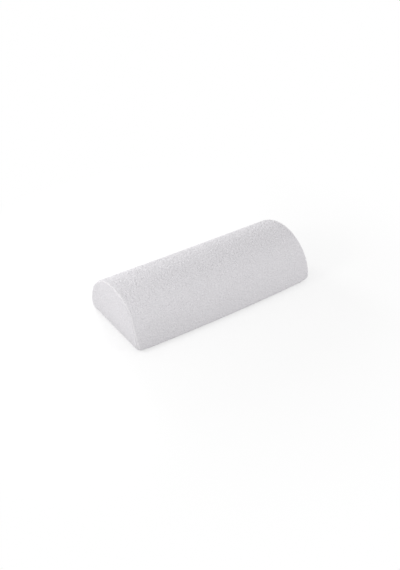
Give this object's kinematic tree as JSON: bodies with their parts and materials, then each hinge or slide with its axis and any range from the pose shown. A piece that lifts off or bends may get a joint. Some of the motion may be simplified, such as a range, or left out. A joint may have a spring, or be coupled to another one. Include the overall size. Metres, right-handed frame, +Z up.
{
  "type": "half round bolster",
  "caption": "Half round foam bolster in a pale terry cover, flat base to lie on the floor, with a coil zip along the back so that the cover comes off for washing.",
  "frame": {"origin": "on the floor, under the middle of the box round the whole part", "axes": "+X along the bolster towards the end where the closed zip has its slider, +Y to the back where the zip is, +Z up"},
  "size_m": [0.43, 0.1998, 0.0999],
  "materials": {
    "terry": "looped cotton terry",
    "tricot": "smooth warp knit",
    "foam": "open-cell polyurethane foam, cut face",
    "overlock": "overlocked polyester thread",
    "zip_tape": "woven herringbone polyester tape",
    "zip_coil": "nylon monofilament",
    "zip_lacquer": "lacquered zinc, semi-gloss"
  },
  "bodies": {
    "bolster": {"foam_core": "foam", "liner_sleeve": "tricot", "liner_end_left": "tricot", "liner_end_right": "tricot", "cover_top_panel": "terry", "cover_base_panel": "terry", "cover_end_left": "terry", "cover_end_right": "terry", "end_seam_left": "overlock", "end_seam_right": "overlock", "front_seam": "overlock", "zip_tape_upper": "zip_tape", "zip_tape_lower": "zip_tape", "zip_coil_upper": "zip_coil", "zip_coil_lower": "zip_coil", "zip_bartack_left": "overlock", "zip_bartack_right": "overlock"},
    "slider": {"zip_slider": "zip_lacquer"},
    "pull": {"zip_pull": "zip_lacquer"}
  },
  "joints": [
    {"name": "zip_run", "type": "slide", "parent": "bolster", "child": "slider", "axis": [-1, 0, 0], "range_m": [0, 0.3968]},
    {"name": "pull_turn", "type": "hinge", "parent": "slider", "child": "pull", "pos_m": [0.1984, 0.0979, 0.02634], "axis": [0, 0.177, -0.9842], "range_deg": [0, 180]}
  ]
}
